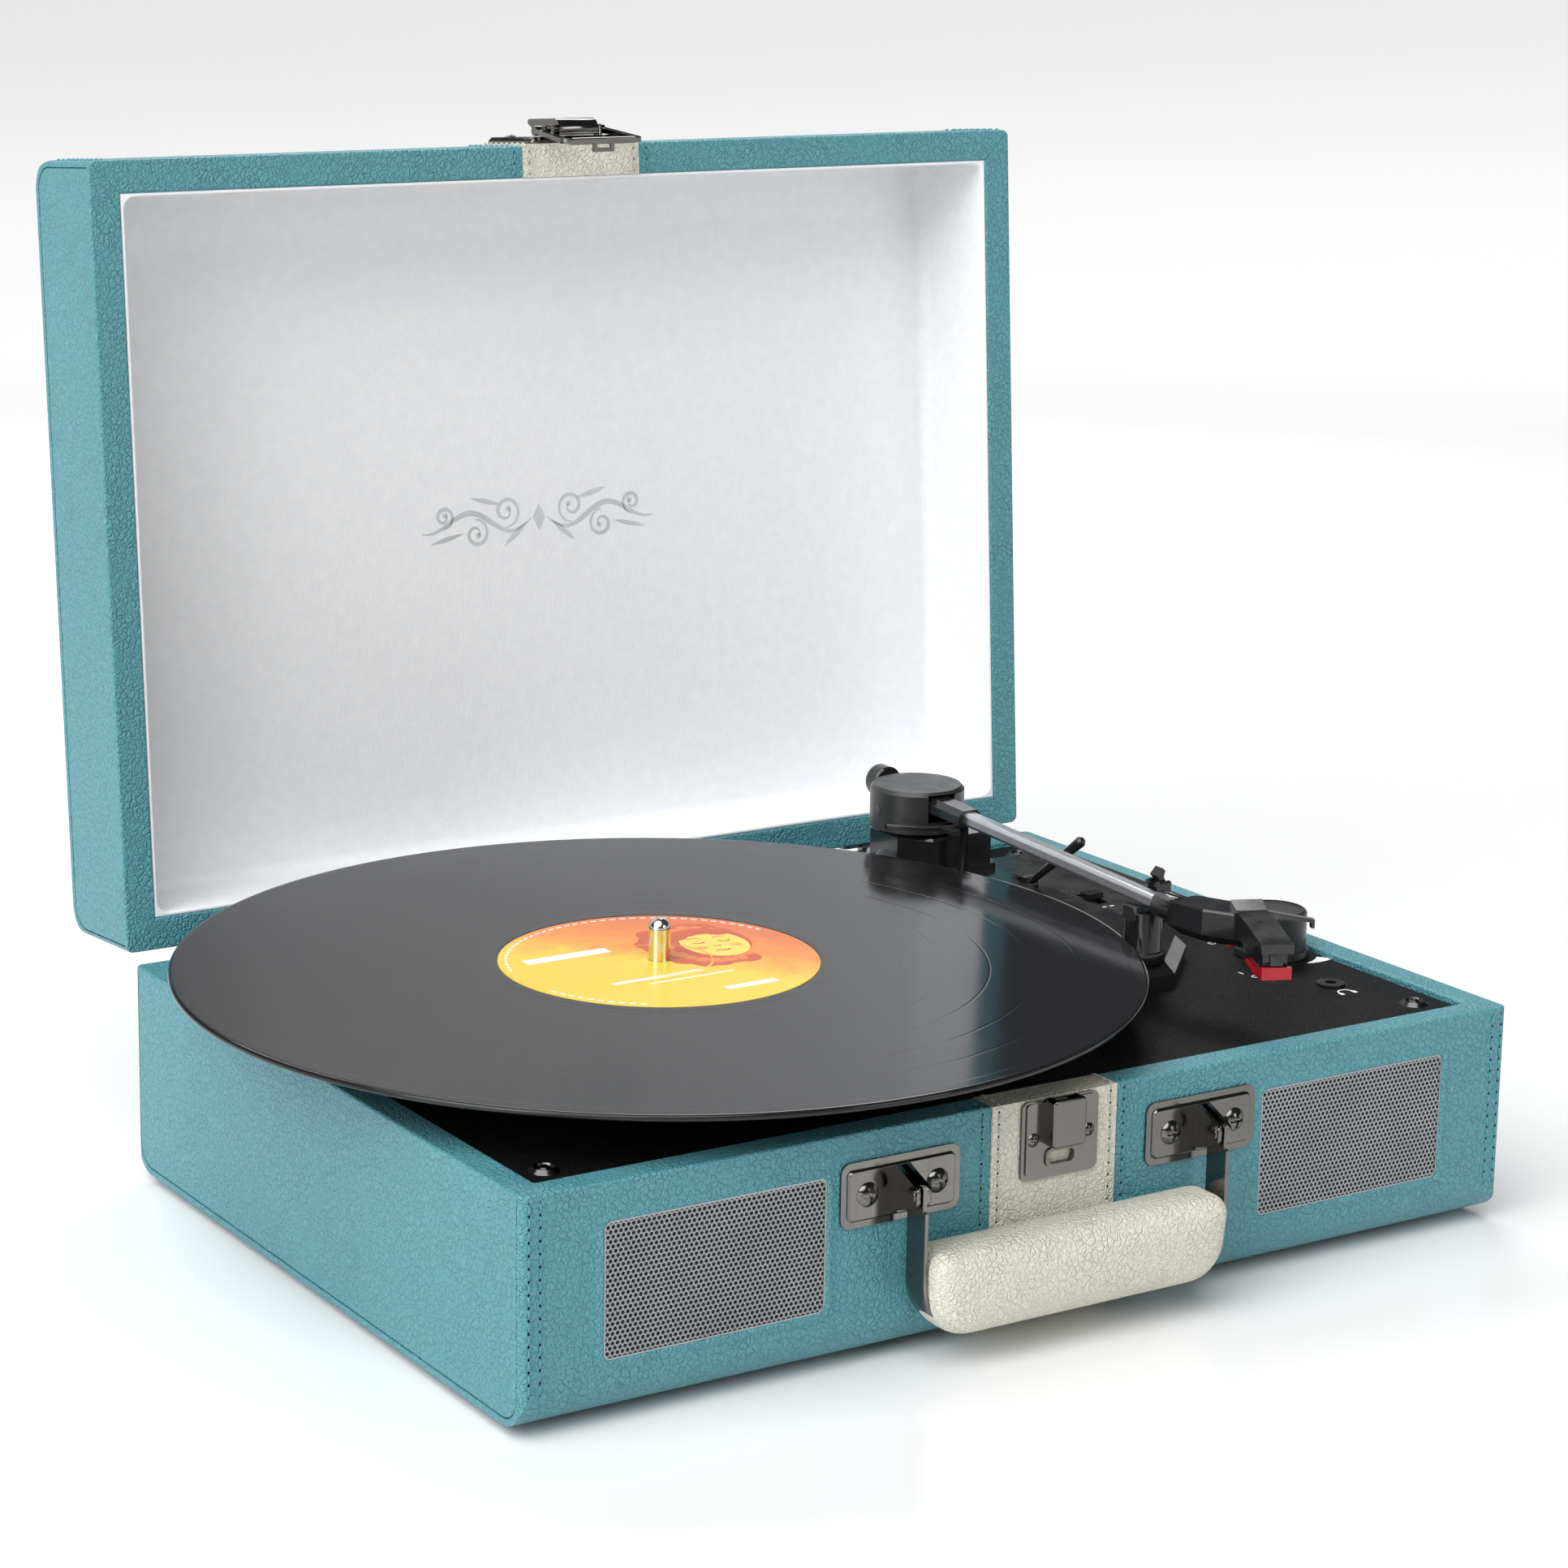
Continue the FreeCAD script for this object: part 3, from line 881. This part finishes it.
def make_electrics():
    """Circuit board on the case floor, and the rear panel with two phono sockets and the low-voltage inlet."""
    floor = FOOT_H + 6.0
    board = block(40, 150, 5, 75, floor + 5.0, floor + 6.6)
    posts = [rod(2.0, 5.0, V(x, y, floor)) for x in (45, 145) for y in (10, 70)]
    on_board = floor + 6.6
    parts = [rod(4, 9, V(60, 25, on_board)), rod(4, 9, V(60, 38, on_board)), rod(3, 7, V(74, 30, on_board)),
             block(90, 104, 20, 44, on_board, floor + 9.0), block(118, 134, 30, 34, on_board, floor + 17)]
    board = join([board] + posts + parts)
    y0 = BACK - REAR_SINK
    rear = rear_block(0.2, y0, y0 + 2.0)
    shells = []
    for x in (REAR_X + 24, REAR_X + 8):
        shells.append(ring(4.2, 2.9, 7.5, V(x, y0 + 0.5, REAR_Z), Y))
        shells.append(rod(4.2, 3, V(x, y0 - 2.5, REAR_Z), Y))
    barrel = ring(5.2, 2.8, 3.2, V(REAR_X - 22, y0 + 0.5, REAR_Z), Y)
    rear = rear.cut(rod(2.8, 10, V(REAR_X - 22, y0 - 1, REAR_Z), Y))
    well = rod(5.2, 11, V(REAR_X - 22, y0 - 10.5, REAR_Z), Y).cut(
        rod(2.8, 11, V(REAR_X - 22, y0 - 9, REAR_Z), Y))
    post = rod(1.0, 10, V(REAR_X - 22, y0 - 10, REAR_Z), Y)
    return board, join([rear, barrel, well, post] + shells)


# ---------------------------------------------------------------- assembly
def build():
    nodes = {}
    cover, carcass, panels, band, corners = make_base()
    grilles = front_openings(FRONT + 0.4, FRONT + SKIN, 0.2)
    can, pulley, motor = make_motor()
    plates, pins, screws = make_brackets()
    catch, catch_screws = make_catch()
    hinge_base, hinge_lid = make_hinges()
    lever, bridge, bridge_foot = make_cue()
    post, clip = make_rest()
    knob, pot, led, jack, switch_bodies, sliders = make_controls()
    board, rear = make_electrics()
    baskets, cones = make_speakers()
    washers, plate_screws = make_plate_screws(corners)
    plate = hole_ring(make_plate(corners, motor), 1.5 + 0.4, [(bridge_foot.x, bridge_foot.y)], 0, 100)
    arm_base = make_arm_base().cut(rod(1.5 + RUN, 60, V(bridge_foot.x, bridge_foot.y, 60)))
    spindle, bush = make_spindle()
    platter, mat = make_platter()
    record, label = make_record()
    housing, gimbal = make_housing()
    head, cartridge, stylus = make_head()
    latch_plate, latch_lever, latch_loop = make_latch()
    strap, grip = make_handle()
    lid_cover, lid_carcass, lid_panels, lid_band, liner = make_lid()
    feet = [Part.makeCone(9.0, 8.0, FOOT_H, V(s * 150, t * 100, FOOT_H), -Z) for s in (-1, 1) for t in (-1, 1)]

    nodes["base_cover"] = cover
    nodes["base_carcass"] = carcass
    nodes["base_side_panels"] = group(panels)
    nodes["base_front_band"] = band
    nodes["top_plate"] = plate
    nodes["cup_washers"] = washers
    nodes["plate_screws"] = plate_screws
    nodes["rubber_feet"] = group(feet)
    nodes["hinge_base_leaves"] = hinge_base
    nodes["latch_catch"] = catch
    nodes["handle_brackets"] = group(plates)
    nodes["handle_pins"] = group(pins)
    nodes["front_screws"] = group(screws + catch_screws)
    nodes["speaker_grille_left"] = grilles[0]
    nodes["speaker_grille_right"] = grilles[1]
    nodes["speaker_baskets"] = baskets
    nodes["speaker_cones"] = cones
    nodes["spindle"] = spindle
    nodes["spindle_bush"] = bush
    nodes["motor_can"] = can
    nodes["drive_belt"] = make_belt(motor)
    nodes["circuit_board"] = board
    nodes["rear_socket_panel"] = rear
    nodes["volume_potentiometer"] = pot
    nodes["power_led"] = led
    nodes["headphone_jack"] = jack
    nodes["slide_switch_bodies"] = switch_bodies
    nodes["control_console"] = make_console()
    nodes["tonearm_base"] = arm_base
    nodes["arm_rest_post"] = post
    nodes["platter"] = platter
    nodes["slipmat"] = mat
    nodes["motor_pulley"] = pulley
    nodes["record"] = record
    nodes["record_label"] = label
    nodes["pivot_housing"] = housing
    nodes["gimbal_screws"] = gimbal
    nodes["arm_yoke"] = make_yoke()
    nodes["arm_tube"] = arm_frame(tube_shape(16.0, REST_AT + 14.0))
    nodes["counterweight"] = make_counterweight()
    nodes["headshell"] = head
    nodes["cartridge"] = cartridge
    nodes["stylus"] = stylus
    nodes["lift_bridge"] = bridge
    nodes["cue_lever"] = lever
    nodes["rest_clip"] = clip
    nodes["volume_knob"] = knob
    nodes["speed_switch_slider"] = sliders[0]
    nodes["stop_switch_slider"] = sliders[1]
    nodes["lid_cover"] = lid_cover
    nodes["lid_carcass"] = lid_carcass
    nodes["lid_side_panels"] = lid_panels
    nodes["lid_front_band"] = lid_band
    nodes["lid_liner"] = liner
    nodes["hinge_lid_leaves"] = hinge_lid
    nodes["latch_plate"] = opened(latch_plate)
    nodes["latch_lever"] = opened(latch_lever)
    nodes["latch_loop"] = opened(latch_loop)
    nodes["handle_strap"] = strap
    nodes["handle_grip"] = grip
    return nodes


os.makedirs("parts", exist_ok=True)
for name, shape in build().items():
    shape = shape.copy()
    shape.translate(V(-ORIGIN_X, -ORIGIN_Y, 0))
    shape.exportStep(f"parts/{name}.step")
    solids = shape.Solids
    volume = sum(s.Volume for s in solids)
    print(f"{name:24s} solids {len(solids):2d}  volume {volume:10.1f}  valid {shape.isValid()}")
